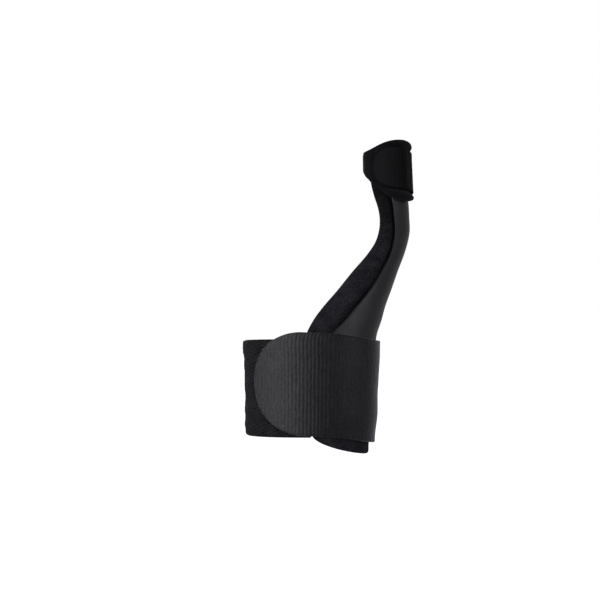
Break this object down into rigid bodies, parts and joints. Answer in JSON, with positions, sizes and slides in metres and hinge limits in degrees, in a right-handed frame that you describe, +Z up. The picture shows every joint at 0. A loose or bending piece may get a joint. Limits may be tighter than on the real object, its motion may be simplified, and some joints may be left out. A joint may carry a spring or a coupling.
{
  "type": "thumb spica splint",
  "caption": "Left-hand thumb spica splint: a padded half-stiff shell along the thumb, held by a wide ribbed wrist strap and a narrow thumb strap with round tabs.",
  "frame": {"origin": "on the axis of the wrist that the splint is worn on, near the middle of the wrist strap", "axes": "+Z up the forearm towards the fingers, +X towards the thumb, -Y out of the back of the hand"},
  "size_m": [0.082, 0.0562, 0.1509],
  "materials": {
    "brushed_cloth": "brushed loop cloth over thin foam, matt blue-black",
    "shell_sheet": "smooth satin dark grey sheet",
    "strap_elastic": "ribbed woven elastic, dark grey",
    "thumb_cloth": "soft plush cloth, near black",
    "hook_tape": "fine hook tape, black"
  },
  "bodies": {
    "root": {"thumb_pad": "brushed_cloth", "splint_shell": "shell_sheet", "wrist_band": "brushed_cloth", "wrist_strap": "strap_elastic", "wrist_hook_patch": "hook_tape", "thumb_band": "thumb_cloth", "thumb_strap": "thumb_cloth", "thumb_hook_patch": "hook_tape"}
  },
  "joints": []
}
